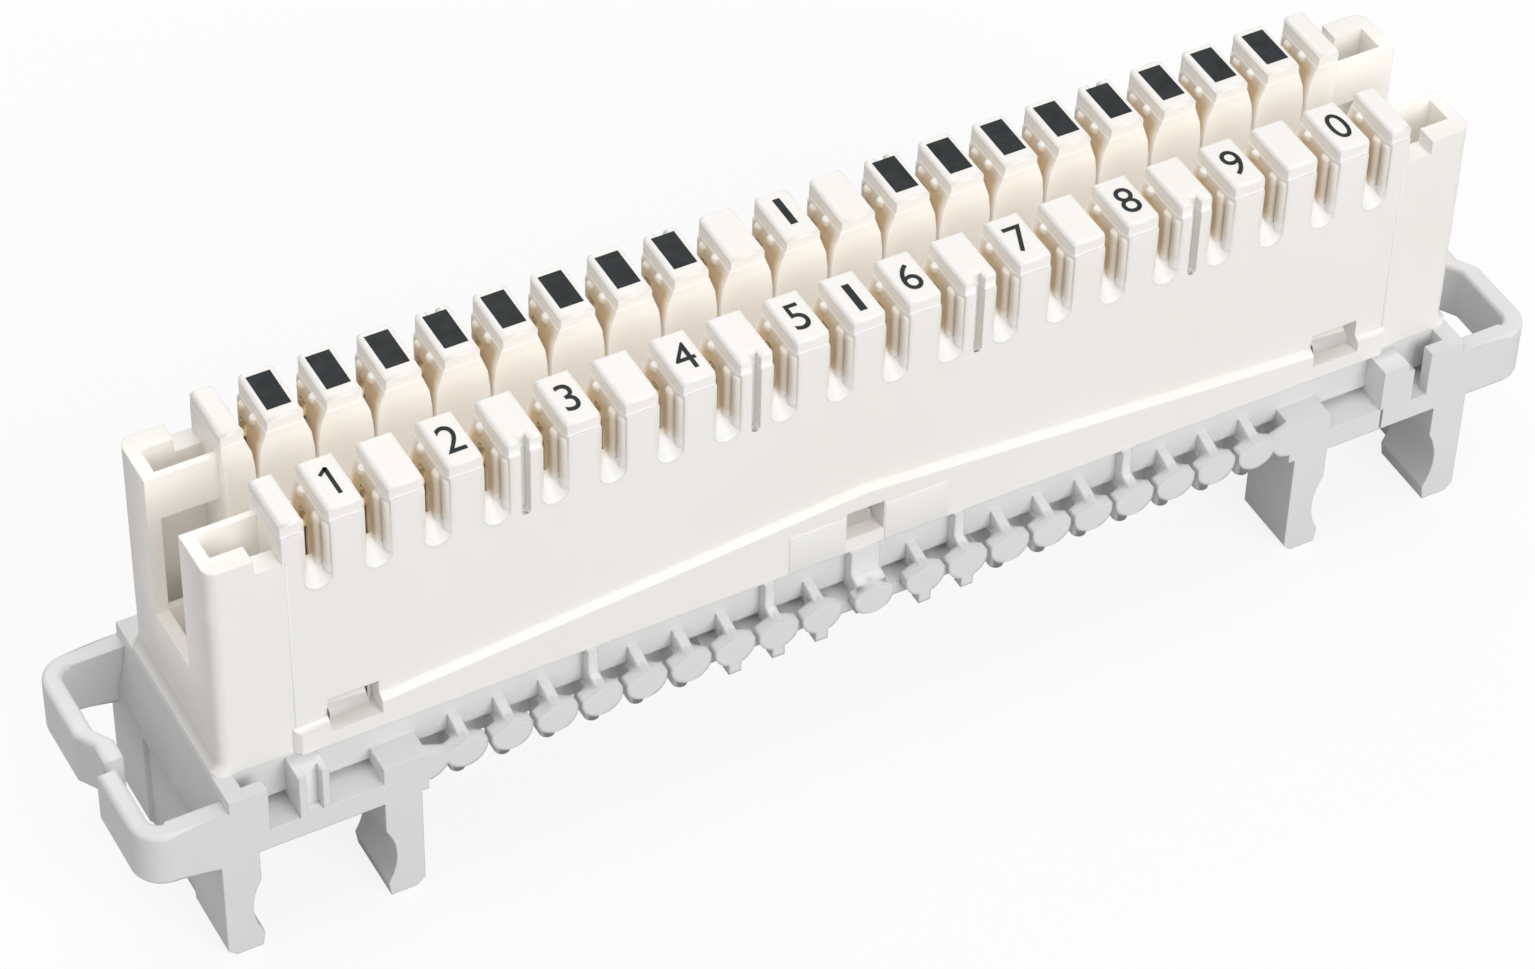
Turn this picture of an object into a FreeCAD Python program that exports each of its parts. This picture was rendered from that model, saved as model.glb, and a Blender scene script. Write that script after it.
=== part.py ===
import FreeCAD, Part
import math
import os
import re

import Sketcher

# Driving dimensions in millimetres. X runs along the strip, the printed row faces -Y, Z is up from
# the feet of the clip legs, and the origin lies under the middle of the strip.
SIZES = {
    "housing_length": 108.6,
    "housing_width": 16.0,
    "corner_round": 1.0,
    "skirt_step": 0.6,
    "skirt_rim": 0.4,
    "skirt_height": 1.3,
    "foot_level": 0.0,
    "base_bottom": 10.5,
    "base_top": 17.0,
    "tower_top": 38.3,
    "tooth_top": 40.8,
    "cap_height": 1.3,
    "cap_setback": 0.12,
    "tooth_pitch": 4.8,
    "slots_per_row": 20.0,
    "end_post": 1.85,
    "channel_width": 5.0,
    "channel_floor": 20.8,
    "mouth_width": 6.2,
    "sill_level": 24.5,
    "end_wall": 1.1,
    "tower_inner_wall": 0.6,
    "tower_outer_wall": 1.8,
    "tower_band": 4.3,
    "notch_width": 2.2,
    "notch_depth": 1.3,
    "slot_width": 2.25,
    "slot_depth": 7.6,
    "slot_corner": 0.65,
    "funnel_depth": 2.0,
    "funnel_rise": 0.9,
    "slit_rise": 1.1,
    "throat_width": 0.6,
    "throat_corner": 0.15,
    "neck_width": 1.9,
    "neck_height": 0.9,
    "shoulder_width": 0.7,
    "shoulder_drop": 1.8,
    "shoulder_foot": 1.7,
    "slit_width": 0.32,
    "rib_groove": 0.3,
    "rib_groove_inset": 1.0,
    "rib_groove_drop": 2.3,
    "contact_width": 3.4,
    "contact_thick": 0.6,
    "contact_fit": 0.1,
    "contact_drop": 2.6,
    "contact_setback": 2.75,
    "jaw_width": 0.3,
    "jaw_depth": 7.0,
    "jaw_mouth": 1.3,
    "jaw_mouth_depth": 1.1,
    "split_width": 0.75,
    "split_depth": 0.9,
    "split_every": 4.0,
    "band_thick": 0.6,
    "band_chamfer": 0.5,
    "band_end_height": 2.5,
    "band_mid_height": 6.4,
    "window_level": 18.4,
    "window_height": 2.9,
    "window_depth": 1.9,
    "window_width": 4.2,
    "window_middle_width": 3.3,
    "window_place": 43.4,
    "latch_round": 1.1,
    "latch_gap": 1.0,
    "base_length": 109.8,
    "keel_width": 13.6,
    "wall_bottom": 13.3,
    "base_floor": 1.5,
    "rim_wall": 1.2,
    "end_rim": 1.9,
    "end_recess": 0.5,
    "end_recess_depth": 1.1,
    "end_plate": 0.25,
    "end_plate_height": 3.2,
    "guide_width": 21.0,
    "rod_spacing": 95.0,
    "rod_diameter": 12.0,
    "rod_level": 4.4,
    "grip_height": 6.0,
    "grip_reach": 5.2,
    "leg_thick": 3.1,
    "leg_neck": 3.7,
    "leg_root": 1.0,
    "foot_flare": 0.2,
    "leg_length": 6.1,
    "foot_chamfer": 0.7,
    "web_thick": 1.0,
    "web_inset": 0.4,
    "web_length": 11.6,
    "corner_plate_length": 3.2,
    "corner_side": 1.5,
    "corner_plate": 1.1,
    "corner_step": 2.0,
    "shelf_length": 5.0,
    "shelf_height": 2.2,
    "block_height": 3.9,
    "head_thick": 1.0,
    "post_place": 47.95,
    "post_width": 2.5,
    "post_top": 16.8,
    "post_groove": 1.3,
    "post_groove_depth": 0.9,
    "tee_place": 48.4,
    "tee_stem": 2.4,
    "tee_plate": 2.7,
    "tee_plate_thick": 0.7,
    "tee_plate_top": 16.0,
    "tee_shift": 0.45,
    "peg_pitch": 3.84,
    "peg_first": 4.62,
    "pegs_per_side": 9.0,
    "peg_stem": 0.9,
    "peg_stem_top": 15.0,
    "peg_stem_fall": 0.7,
    "head_width": 3.5,
    "head_top": 14.5,
    "head_height": 3.1,
    "head_rim": 0.5,
    "head_foot": 0.4,
    "gusset_width": 2.2,
    "gusset_length": 0.8,
    "gusset_height": 0.8,
    "fin_reach": 0.9,
    "fin_every": 4.0,
    "ribs_left": 6.0,
    "ribs_right": 7.0,
    "rib_round": 0.65,
    "rib_length": 3.8,
    "rib_setback": 2.0,
    "tray_top": 12.7,
    "tray_thick": 1.3,
    "tray_margin": 1.95,
    "stub_width": 1.1,
    "middle_peg": 2.6,
    "loop_reach": 62.0,
    "loop_wall": 1.6,
    "loop_top": 15.8,
    "loop_round": 2.6,
    "loop_gap": 1.0,
    "crank_start": 2.2,
    "crank_shift": 1.0,
    "crank_length": 1.6,
}

doc = FreeCAD.newDocument("WiringStrip")
sheet = doc.addObject("Spreadsheet::Sheet", "Sizes")
for row, (alias, size) in enumerate(SIZES.items(), start=1):
    sheet.set(f"A{row}", alias)
    sheet.set(f"B{row}", str(size))
    sheet.setAlias(f"B{row}", alias)
doc.recompute()


def bound(text):
    """Expression text with each plain size name pointed at its cell."""
    return re.sub(r"[a-z_]+", lambda word: "Sizes." + word[0] if word[0] in SIZES else word[0], text)


def number(text):
    return float(sheet.evalExpression(bound(text)))


def new_body(name):
    body = doc.addObject("PartDesign::Body", name)
    body.Label = name
    return body


def new_sketch(body, name, plane, offset="0"):
    """Sketch on an origin plane; XY looks along +Z, XZ along -Y and YZ along +X."""
    sketch = body.newObject("Sketcher::SketchObject", name)
    support = [part for part in body.Origin.OriginFeatures if part.Role == plane][0]
    sketch.AttachmentSupport = [(support, "")]
    sketch.MapMode = "FlatFace"
    sketch.setExpression("AttachmentOffset.Base.z", bound(offset))
    return sketch


def draw_outline(sketch, corners, rounds=None):
    """Closed outline through corners; rounds gives the side that leaves a corner as an arc.

    A round is (radius, turn), with turn 1 for an arc that runs anticlockwise and -1 for clockwise,
    or ("half", turn) for a half circle.
    """
    rounds = rounds or {}
    points = [FreeCAD.Vector(number(across), number(up), 0) for across, up in corners]
    first = sketch.GeometryCount
    starts, ends = [], []
    for side, here in enumerate(points):
        there = points[(side + 1) % len(points)]
        geometry = first + side
        if side not in rounds:
            sketch.addGeometry(Part.LineSegment(here, there))
            starts.append((geometry, 1))
            ends.append((geometry, 2))
            continue
        radius, turn = rounds[side]
        chord = there - here
        half = chord.Length / 2
        size = half if radius == "half" else number(radius)
        rise = math.sqrt(max(size * size - half * half, 0))
        left = FreeCAD.Vector(-chord.y, chord.x, 0) / chord.Length
        centre = here + chord / 2 + left * rise * turn
        low, high = (here, there) if turn > 0 else (there, here)
        circle = Part.Circle(centre, FreeCAD.Vector(0, 0, 1), size)
        angles = [math.atan2(end.y - centre.y, end.x - centre.x) for end in (low, high)]
        sketch.addGeometry(Part.ArcOfCircle(circle, *angles))
        starts.append((geometry, 1 if turn > 0 else 2))
        ends.append((geometry, 2 if turn > 0 else 1))
    for side, (across, up) in enumerate(corners):
        before = ends[side - 1]
        sketch.addConstraint(Sketcher.Constraint("Coincident", *before, *starts[side]))
        for kind, text in (("DistanceX", across), ("DistanceY", up)):
            fixed = sketch.addConstraint(Sketcher.Constraint(kind, -1, 1, *starts[side], number(text)))
            sketch.setExpression(f"Constraints[{fixed}]", bound(text))
    for side, (radius, turn) in rounds.items():
        if radius == "half":
            level = corners[side][1] == corners[(side + 1) % len(corners)][1]
            kind, text = ("DistanceY", corners[side][1]) if level else ("DistanceX", corners[side][0])
            fixed = sketch.addConstraint(Sketcher.Constraint(kind, -1, 1, first + side, 3, number(text)))
            sketch.setExpression(f"Constraints[{fixed}]", bound(text))
        else:
            held = sketch.addConstraint(Sketcher.Constraint("Radius", first + side, number(radius)))
            sketch.setExpression(f"Constraints[{held}]", bound(radius))


def draw_box(sketch, left, right, low, high):
    draw_outline(sketch, [(left, low), (right, low), (right, high), (left, high)])


def draw_circle(sketch, across, up, radius):
    centre = FreeCAD.Vector(number(across), number(up), 0)
    circle = sketch.addGeometry(Part.Circle(centre, FreeCAD.Vector(0, 0, 1), number(radius)))
    for kind, text in (("DistanceX", across), ("DistanceY", up)):
        fixed = sketch.addConstraint(Sketcher.Constraint(kind, -1, 1, circle, 3, number(text)))
        sketch.setExpression(f"Constraints[{fixed}]", bound(text))
    held = sketch.addConstraint(Sketcher.Constraint("Radius", circle, number(radius)))
    sketch.setExpression(f"Constraints[{held}]", bound(radius))


def origin_part(body, role):
    return [part for part in body.Origin.OriginFeatures if part.Role == role][0]


def extrude(kind, sketch, name, length, symmetric=False, backwards=False):
    """Pad or Pocket of a sketch; a Pad follows the sketch normal and a Pocket runs against it."""
    body = sketch.getParentGeoFeatureGroup()
    feature = body.newObject(f"PartDesign::{kind}", name)
    feature.Profile = sketch
    feature.setExpression("Length", bound(length))
    feature.SideType = "Symmetric" if symmetric else "One side"
    feature.Reversed = backwards
    feature.Refine = False
    body.Tip = feature
    return feature


def repeat(body, name, originals, steps):
    """Copies of features, or of the whole body when none is named, by a chain of patterns.

    A step is ("row", count, pitch, backwards) along X, "turn" for half a turn about Z, "side" for a
    mirror image across the strip or "end" for one along it.
    """
    pattern = body.newObject("PartDesign::MultiTransform", name)
    if originals:
        pattern.Originals = originals
    else:
        pattern.TransformMode = "Whole shape"
    pattern.Refine = False
    chain = []
    for step in steps:
        if step[0] == "row":
            _, count, pitch, backwards = step
            part = body.newObject("PartDesign::LinearPattern", f"{name}Row")
            part.Direction = (origin_part(body, "X_Axis"), [""])
            part.Reversed = backwards
            part.Mode = "Spacing"
            part.setExpression("Offset", bound(pitch))
            part.setExpression("Occurrences", bound(count))
        elif step == "turn":
            part = body.newObject("PartDesign::PolarPattern", f"{name}Turn")
            part.Axis = (origin_part(body, "Z_Axis"), [""])
            part.Angle = 360
            part.Occurrences = 2
        else:
            part = body.newObject("PartDesign::Mirrored", f"{name}{step.title()}")
            plane = {"side": "XZ_Plane", "end": "YZ_Plane"}[step]
            part.MirrorPlane = (origin_part(body, plane), [""])
        chain.append(part)
    pattern.Transformations = chain
    body.Tip = pattern
    doc.recompute()
    return pattern


FIRST_SLOT = "-(slots_per_row - 1)/2*tooth_pitch"
ROW_END = "((slots_per_row - 1)/2*tooth_pitch + neck_width/2 + end_post)"
SLOT_BOTTOM = "(tooth_top - slot_depth)"
FACE = "housing_width/2"
REACH = "guide_width/2"
BASE_END = "base_length/2"
HEAD_FOOT = "(head_top - head_height)"
LIP = "sqrt((rod_diameter/2)^2 - (grip_height/2)^2)"


def draw_rounded(sketch, long, wide, bend):
    """Rectangle from -long to long and -wide to wide with quarter-round corners."""
    draw_outline(sketch, [(f"-{long} + {bend}", f"-{wide}"), (f"{long} - {bend}", f"-{wide}"),
                          (long, f"-{wide} + {bend}"), (long, f"{wide} - {bend}"),
                          (f"{long} - {bend}", wide), (f"-{long} + {bend}", wide),
                          (f"-{long}", f"{wide} - {bend}"), (f"-{long}", f"-{wide} + {bend}")],
                 {1: (bend, 1), 3: (bend, 1), 5: (bend, 1), 7: (bend, 1)})


def make_shell(body):
    """Outer walls: towers, rows with their set-back caps, the gabled band and the flared end skirts."""
    long, wide, bend = "housing_length/2", FACE, "corner_round"
    plan = new_sketch(body, "ShellPlan", "XY_Plane", "base_top")
    draw_rounded(plan, long, wide, bend)
    extrude("Pad", plan, "Shell", "tower_top - base_top")

    foot = f"({long} + skirt_step)"
    low = new_sketch(body, "SkirtFootPlan", "XY_Plane", "base_top")
    rim = new_sketch(body, "SkirtRimPlan", "XY_Plane", "base_top + skirt_rim")
    top = new_sketch(body, "SkirtTopPlan", "XY_Plane", "base_top + skirt_height")
    for sketch, reach in ((low, foot), (rim, foot), (top, long)):
        draw_rounded(sketch, reach, wide, bend)
    extrude("Pad", low, "SkirtFoot", "skirt_rim")
    flare = body.newObject("PartDesign::AdditiveLoft", "SkirtFlare")
    flare.Profile = rim
    flare.Sections = [top]
    flare.Ruled = True
    flare.Refine = False
    body.Tip = flare

    rows = new_sketch(body, "RowsPlan", "XY_Plane", "base_top")
    draw_box(rows, f"-{ROW_END}", ROW_END, f"-{FACE}", FACE)
    extrude("Pad", rows, "Rows", "tooth_top - cap_height - base_top")
    caps = new_sketch(body, "CapsPlan", "XY_Plane", "base_top")
    draw_box(caps, f"-{ROW_END}", ROW_END, f"-{FACE} + cap_setback", f"{FACE} - cap_setback")
    extrude("Pad", caps, "Caps", "tooth_top - base_top")

    band = new_sketch(body, "BandOutline", "XZ_Plane")
    draw_outline(band, [(f"-{ROW_END}", "base_top"), (ROW_END, "base_top"),
                        (ROW_END, "base_top + band_end_height"), ("0", "base_top + band_mid_height"),
                        (f"-{ROW_END}", "base_top + band_end_height")])
    return extrude("Pad", band, "Band", "housing_width + 2*band_thick", symmetric=True)


def bevel_band(body, band):
    """Chamfer round the proud faces of the band, open at the bottom edge."""
    doc.recompute()
    proud = number("housing_width/2 + band_thick")
    low = number("base_top")
    edges = []
    for index, edge in enumerate(band.Shape.Edges, start=1):
        box = edge.BoundBox
        if abs(abs(box.Center.y) - proud) < 0.01 and box.YLength < 0.01 and box.ZMax > low + 0.01:
            edges.append(f"Edge{index}")
    chamfer = body.newObject("PartDesign::Chamfer", "BandBevel")
    chamfer.Base = (band, edges)
    chamfer.setExpression("Size", bound("band_chamfer"))
    body.Tip = chamfer


def cut_channel(body):
    """Channel between the rows, wider between the towers, with a sill in each end wall."""
    inner = "(housing_length/2 - end_wall)"
    narrow, wide = "channel_width/2", "mouth_width/2"
    plan = new_sketch(body, "ChannelPlan", "XY_Plane", "tooth_top")
    draw_outline(plan, [(f"-{inner}", f"-{wide}"), (f"-{ROW_END}", f"-{wide}"),
                        (f"-{ROW_END}", f"-{narrow}"), (ROW_END, f"-{narrow}"),
                        (ROW_END, f"-{wide}"), (inner, f"-{wide}"),
                        (inner, wide), (ROW_END, wide), (ROW_END, narrow),
                        (f"-{ROW_END}", narrow), (f"-{ROW_END}", wide), (f"-{inner}", wide)])
    extrude("Pocket", plan, "Channel", "tooth_top - channel_floor")
    mouth = new_sketch(body, "MouthPlan", "XY_Plane", "tooth_top")
    draw_box(mouth, "-housing_length/2 - skirt_step", "housing_length/2 + skirt_step", f"-{wide}", wide)
    extrude("Pocket", mouth, "Mouths", "tooth_top - sill_level")


def cut_towers(body):
    """Pocket in each tower, open at the top, low in its channel side and notched beside the end post."""
    inner = "(housing_length/2 - end_wall)"
    pocket = new_sketch(body, "TowerPocketPlan", "XY_Plane", "tooth_top")
    draw_box(pocket, ROW_END, inner, "mouth_width/2 + tower_inner_wall", f"{FACE} - tower_outer_wall")
    pocket = extrude("Pocket", pocket, "TowerPocket", "tooth_top - channel_floor")
    notch = new_sketch(body, "TowerNotchPlan", "XY_Plane", "tower_top")
    draw_box(notch, ROW_END, f"{ROW_END} + notch_width", f"{FACE} - tower_outer_wall", FACE)
    notch = extrude("Pocket", notch, "TowerNotch", "notch_depth")
    gate = new_sketch(body, "TowerGateOutline", "XZ_Plane", "-mouth_width/2")
    draw_box(gate, ROW_END, inner, "sill_level", "tower_top - tower_band")
    gate = extrude("Pocket", gate, "TowerGate", "tower_inner_wall")
    doc.recompute()
    repeat(body, "Towers", [pocket, notch, gate], ["side", "end"])


def draw_notch(sketch, side, low, corner):
    """First slot as seen from outside, open at the top, with its two lower corners cut off."""
    draw_outline(sketch, [(f"{FIRST_SLOT} - {side}", "tooth_top"),
                          (f"{FIRST_SLOT} - {side}", f"{low} + {corner}"),
                          (f"{FIRST_SLOT} - {side} + {corner}", low),
                          (f"{FIRST_SLOT} + {side} - {corner}", low),
                          (f"{FIRST_SLOT} + {side}", f"{low} + {corner}"),
                          (f"{FIRST_SLOT} + {side}", "tooth_top")])


def make_slots(body):
    """Cutters for the wire slots: funnel, shouldered slit, contact cavity and grooves beside flank ribs."""
    half, throat = "slot_width/2", "throat_width/2"
    wide = new_sketch(body, "FunnelMouth", "XZ_Plane", FACE)
    narrow = new_sketch(body, "FunnelThroat", "XZ_Plane", f"{FACE} - funnel_depth")
    draw_notch(wide, half, SLOT_BOTTOM, "slot_corner")
    draw_notch(narrow, throat, f"({SLOT_BOTTOM} + funnel_rise)", "throat_corner")
    funnel = body.newObject("PartDesign::AdditiveLoft", "Funnel")
    funnel.Profile = wide
    funnel.Sections = [narrow]
    funnel.Ruled = True
    funnel.Refine = False
    body.Tip = funnel

    outline = new_sketch(body, "SlitOutline", "XZ_Plane", FACE)
    shoulder = "(tooth_top - neck_height)"
    levels = [("neck_width/2", "tooth_top"), ("neck_width/2", shoulder),
              ("shoulder_width/2", f"{shoulder} - shoulder_drop"),
              ("slit_width/2", f"{shoulder} - shoulder_drop - shoulder_foot"),
              ("slit_width/2", f"{SLOT_BOTTOM} + slit_rise")]
    draw_outline(outline, [(f"{FIRST_SLOT} - {side}", up) for side, up in levels]
                 + [(f"{FIRST_SLOT} + {side}", up) for side, up in reversed(levels)])
    extrude("Pad", outline, "Slit", "(housing_width - channel_width)/2", backwards=True)

    cavity = new_sketch(body, "CavityPlan", "XY_Plane", "base_top")
    reach, thick = "(contact_width/2 + contact_fit)/sqrt(2)", "(contact_thick/2 + contact_fit)/sqrt(2)"
    middle = f"-({FACE} - contact_setback)"
    draw_outline(cavity, [(f"{FIRST_SLOT} {a} {reach} {b} {thick}", f"{middle} {c} {reach} {d} {thick}")
                          for a, b, c, d in ("+-++", "---+", "-+--", "+++-")])
    extrude("Pad", cavity, "Cavity", "tooth_top - contact_drop + contact_fit - base_top")

    grooves = new_sketch(body, "RibGrooves", "XY_Plane", f"{SLOT_BOTTOM} + slit_rise")
    aside = f"({half} - ({half} - {throat})*rib_groove_inset/funnel_depth)"
    for side in "-+":
        across, inset = f"{FIRST_SLOT} {side} {aside}", f"-{FACE} + rib_groove_inset"
        draw_outline(grooves, [(f"{across} - rib_groove", inset), (across, f"{inset} - rib_groove"),
                               (f"{across} + rib_groove", inset), (across, f"{inset} + rib_groove")])
    extrude("Pad", grooves, "RibGroove", "slot_depth - slit_rise - rib_groove_drop")
    doc.recompute()
    repeat(body, "Slots", [], [("row", "slots_per_row", "tooth_pitch", False), "turn"])


def cut_splits(body):
    """Shallow vertical split down every fourth tooth, with a round foot."""
    half = "split_width/2"
    across, low = "(split_every - slots_per_row/2)*tooth_pitch", f"({SLOT_BOTTOM} + {half})"
    outline = new_sketch(body, "SplitOutline", "XZ_Plane", FACE)
    draw_outline(outline, [(f"{across} - {half}", "tooth_top"), (f"{across} - {half}", low),
                           (f"{across} + {half}", low), (f"{across} + {half}", "tooth_top")],
                 {1: ("half", 1)})
    split = extrude("Pocket", outline, "Split", "split_depth")
    doc.recompute()
    repeat(body, "Splits", [split],
           [("row", "slots_per_row/split_every - 1", "split_every*tooth_pitch", False), "turn"])


def add_latches(body):
    """Windows through the band, each with a half-round latch nose inside."""
    proud = f"-({FACE} + band_thick)"
    inner = f"({proud} + window_depth)"
    made = []
    for name, place, width in (("Left", "-window_place", "window_width"),
                               ("Middle", "0", "window_middle_width"),
                               ("Right", "window_place", "window_width")):
        opening = new_sketch(body, f"{name}WindowProfile", "YZ_Plane", place)
        draw_box(opening, proud, inner, "window_level", "window_level + window_height")
        made.append(extrude("Pocket", opening, f"{name}Window", width, symmetric=True))
        nose = new_sketch(body, f"{name}LatchProfile", "YZ_Plane", f"{place} - latch_gap/2")
        middle, reach = "(window_level + window_height/2)", "latch_round"
        draw_outline(nose, [(f"{inner} + {reach}", f"{middle} + {reach}"), (inner, f"{middle} + {reach}"),
                            (inner, f"{middle} - {reach}"), (f"{inner} + {reach}", f"{middle} - {reach}")],
                     {1: ("half", 1)})
        made.append(extrude("Pad", nose, f"{name}Latch", f"{width} - latch_gap", symmetric=True))
    doc.recompute()
    repeat(body, "Latches", made, ["turn"])


def make_tray(body):
    """Keel, the wider walls above it, the hollow under the housing and the stepped end faces."""
    end = BASE_END
    keel = new_sketch(body, "KeelPlan", "XY_Plane", "base_bottom")
    draw_box(keel, f"-{end}", end, "-keel_width/2", "keel_width/2")
    extrude("Pad", keel, "Keel", "base_top - base_bottom")
    walls = new_sketch(body, "WallsPlan", "XY_Plane", "wall_bottom")
    draw_box(walls, f"-{end}", end, f"-{FACE}", FACE)
    extrude("Pad", walls, "Walls", "base_top - wall_bottom")
    hollow = new_sketch(body, "HollowPlan", "XY_Plane", "base_top")
    draw_box(hollow, f"-{end} + end_rim", f"{end} - end_rim",
             "-keel_width/2 + rim_wall", "keel_width/2 - rim_wall")
    extrude("Pocket", hollow, "Hollow", "base_top - base_bottom - base_floor")
    plate = add_box(body, "EndPlate", end, f"{end} + end_plate", f"-{REACH} + loop_wall",
                    f"{REACH} - loop_wall", "base_bottom", "base_bottom + end_plate_height")
    recess = new_sketch(body, "EndRecessPlan", "XY_Plane", "base_top")
    draw_box(recess, f"{end} - end_recess", f"{end} + end_plate", f"-{FACE}", FACE)
    recess = extrude("Pocket", recess, "EndRecess", "end_recess_depth")
    doc.recompute()
    repeat(body, "Ends", [plate, recess], ["end"])


def add_box(body, name, left, right, low, high, bottom, top):
    plan = new_sketch(body, f"{name}Plan", "XY_Plane", bottom)
    draw_box(plan, left, right, low, high)
    return extrude("Pad", plan, name, f"{top} - ({bottom})")


def add_corners(body):
    """Corner brackets at the rods: lower block, upright plate with its pocket, shelf and T-headed block."""
    end, keel = BASE_END, "keel_width/2"
    inner_leg = "(rod_spacing/2 - grip_reach)"
    low = add_box(body, "CornerBlock", "post_place + post_width/2", end, keel, REACH,
                  "base_bottom", "base_bottom + corner_step")
    plate = new_sketch(body, "CornerPlatePlan", "XY_Plane", "base_bottom")
    draw_outline(plate, [(f"{end} - corner_plate_length", f"{REACH} - corner_plate"),
                         (f"{end} - corner_side", f"{REACH} - corner_plate"), (f"{end} - corner_side", keel),
                         (end, keel), (end, REACH), (f"{end} - corner_plate_length", REACH)])
    plate = extrude("Pad", plate, "CornerPlate", "base_top - base_bottom")
    shelf = add_box(body, "Shelf", inner_leg, f"{inner_leg} + shelf_length", keel, REACH,
                    "base_bottom", "base_bottom + shelf_height")
    block = add_box(body, "ShelfBlock", f"{inner_leg} - leg_neck", inner_leg, keel, REACH,
                    "base_bottom", "base_bottom + block_height")
    head = new_sketch(body, "BlockHeadOutline", "XZ_Plane", f"-{REACH}")
    tip, root = f"({inner_leg} - leg_neck - head_width/2)", f"({inner_leg} - leg_neck)"
    belly = f"({HEAD_FOOT} + head_width/2)"
    draw_outline(head, [(tip, belly), (root, HEAD_FOOT), (root, "base_bottom + block_height"),
                        (tip, f"{belly} + head_rim")], {0: ("head_width/2", 1)})
    head = extrude("Pad", head, "BlockHead", "head_thick")
    doc.recompute()
    repeat(body, "Corners", [low, plate, shelf, block, head], ["side", "end"])


def add_posts(body):
    """Grooved post at one corner of each side and a T-shaped one at the other."""
    half, wall = "post_width/2", "keel_width/2"
    post = add_box(body, "Post", f"-post_place - {half}", f"-post_place + {half}", f"-{REACH}", f"-{wall}",
                   "base_bottom", "post_top")
    groove = new_sketch(body, "PostGroovePlan", "XY_Plane", "base_bottom + shelf_height")
    draw_box(groove, "-post_place - post_groove/2", "-post_place + post_groove/2",
             f"-{REACH}", f"-{REACH} + post_groove_depth")
    groove = extrude("Pocket", groove, "PostGroove", "post_top - base_bottom - shelf_height", backwards=True)
    stem = add_box(body, "TeeStem", "tee_place - tee_stem/2", "tee_place + tee_stem/2",
                   f"-{REACH}", f"-{wall}", "base_bottom + shelf_height", "post_top")
    shifted = "(tee_place + tee_shift)"
    plate = add_box(body, "TeePlate", f"{shifted} - tee_plate/2", f"{shifted} + tee_plate/2",
                    f"-{REACH}", f"-{REACH} + tee_plate_thick", "base_bottom", "tee_plate_top")
    doc.recompute()
    repeat(body, "Posts", [post, groove, stem, plate], ["turn"])


def add_legs(body):
    """Pairs of springy legs that grip the round rods, and the web that joins the outer ones."""
    rod, grip, lip = "rod_spacing/2", "grip_height/2", LIP
    outline = new_sketch(body, "LegOutlines", "XZ_Plane", REACH)
    for side, turn in (("+", 1), ("-", -1)):
        corners = [(f"{rod} {side} {lip}", "base_bottom + leg_root"),
                   (f"{rod} {side} {lip}", f"rod_level + {grip}"),
                   (f"{rod} {side} {lip}", f"rod_level - {grip}"),
                   (f"{rod} {side} ({lip} + foot_flare)", "foot_level"),
                   (f"{rod} {side} (grip_reach + leg_thick - foot_chamfer)", "foot_level"),
                   (f"{rod} {side} (grip_reach + leg_thick)", "foot_level + foot_chamfer"),
                   (f"{rod} {side} (grip_reach + leg_thick)", "base_bottom + leg_root")]
        draw_outline(outline, corners, {1: ("rod_diameter/2", -turn)})
    legs = extrude("Pad", outline, "Legs", "leg_length", backwards=True)
    outer = f"({rod} + grip_reach + leg_thick)"
    web = add_box(body, "LegWeb", f"{outer} - web_inset - web_thick", f"{outer} - web_inset",
                  "-web_length/2", "web_length/2", "foot_level", "base_bottom")
    doc.recompute()
    repeat(body, "LegPairs", [legs, web], ["side", "end"])


def make_pegs(body):
    """Mushroom-headed wire guides along both sides."""
    draw_peg(body, "Peg", "peg_first", "peg_stem")
    doc.recompute()
    repeat(body, "Pegs", [], [("row", "pegs_per_side", "peg_pitch", False), "end", "side"])


def make_middles(body):
    """Thicker guide in the middle of each side and the fins above every fourth guide."""
    middle = draw_peg(body, "Middle", "0", "middle_peg")
    middle.append(add_box(body, "MiddleFin", "-middle_peg/2", "middle_peg/2", FACE, f"{FACE} + fin_reach",
                          "peg_stem_top - peg_stem_fall", "base_top"))
    doc.recompute()
    repeat(body, "MiddlePegs", middle, ["side"])
    fin = add_box(body, "Fin", "peg_first + peg_pitch - peg_stem/2", "peg_first + peg_pitch + peg_stem/2",
                  FACE, f"{FACE} + fin_reach", "peg_stem_top - peg_stem_fall", "base_top")
    doc.recompute()
    repeat(body, "Fins", [fin], [("row", "2", "fin_every*peg_pitch", False), "end", "side"])


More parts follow.
